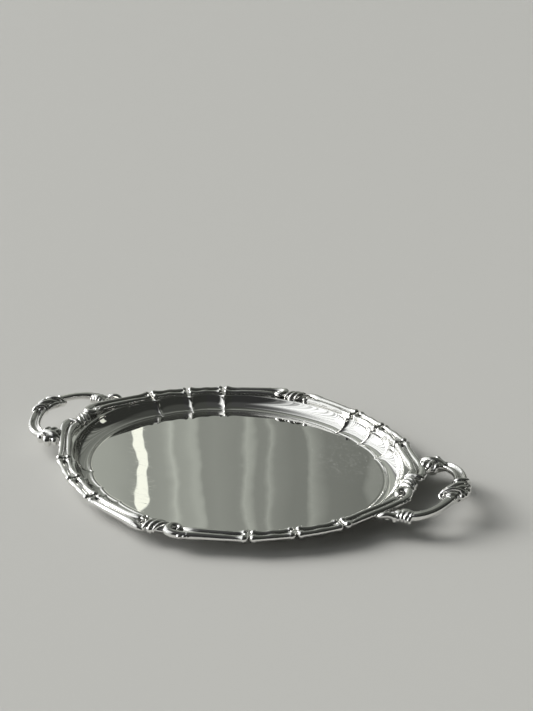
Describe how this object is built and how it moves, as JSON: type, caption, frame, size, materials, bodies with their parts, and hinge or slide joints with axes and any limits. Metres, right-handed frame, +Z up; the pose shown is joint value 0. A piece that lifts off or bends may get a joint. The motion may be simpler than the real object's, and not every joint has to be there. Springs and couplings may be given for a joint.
{
  "type": "serving tray",
  "caption": "Oval footless serving tray with a flat well, a creased raised wall, a reeded scroll border with leaf clasps, and a cast loop handle at each end.",
  "frame": {"origin": "centre of the underside, on the surface the tray stands on", "axes": "+X through the right handle along the long axis, -Y is the front, +Z is up"},
  "size_m": [0.582, 0.389, 0.0395],
  "materials": {
    "sheet_silver": "mirror-polished silver plate with fine wiping scratches",
    "border_silver": "polished silver plate with tarnish in the grooves",
    "handle_silver": "polished silver plate with tarnish in the flutes"
  },
  "bodies": {
    "root": {"border_back_left_corner_1": "border_silver", "border_back_left_corner_2": "border_silver", "border_back_left_end": "border_silver", "border_back_left_side": "border_silver", "border_back_right_corner_1": "border_silver", "border_back_right_corner_2": "border_silver", "border_back_right_end": "border_silver", "border_back_right_side": "border_silver", "border_front_left_corner_1": "border_silver", "border_front_left_corner_2": "border_silver", "border_front_left_end": "border_silver", "border_front_left_side": "border_silver", "border_front_right_corner_1": "border_silver", "border_front_right_corner_2": "border_silver", "border_front_right_end": "border_silver", "border_front_right_side": "border_silver", "clasp_back": "border_silver", "clasp_front": "border_silver", "clasp_left": "border_silver", "clasp_right": "border_silver", "handle_left_back_foot": "handle_silver", "handle_left_front_foot": "handle_silver", "handle_left_knuckle": "handle_silver", "handle_left_narrow_arm": "handle_silver", "handle_left_wide_arm": "handle_silver", "handle_right_back_foot": "handle_silver", "handle_right_front_foot": "handle_silver", "handle_right_knuckle": "handle_silver", "handle_right_narrow_arm": "handle_silver", "handle_right_wide_arm": "handle_silver", "tray_sheet": "sheet_silver"}
  },
  "joints": []
}
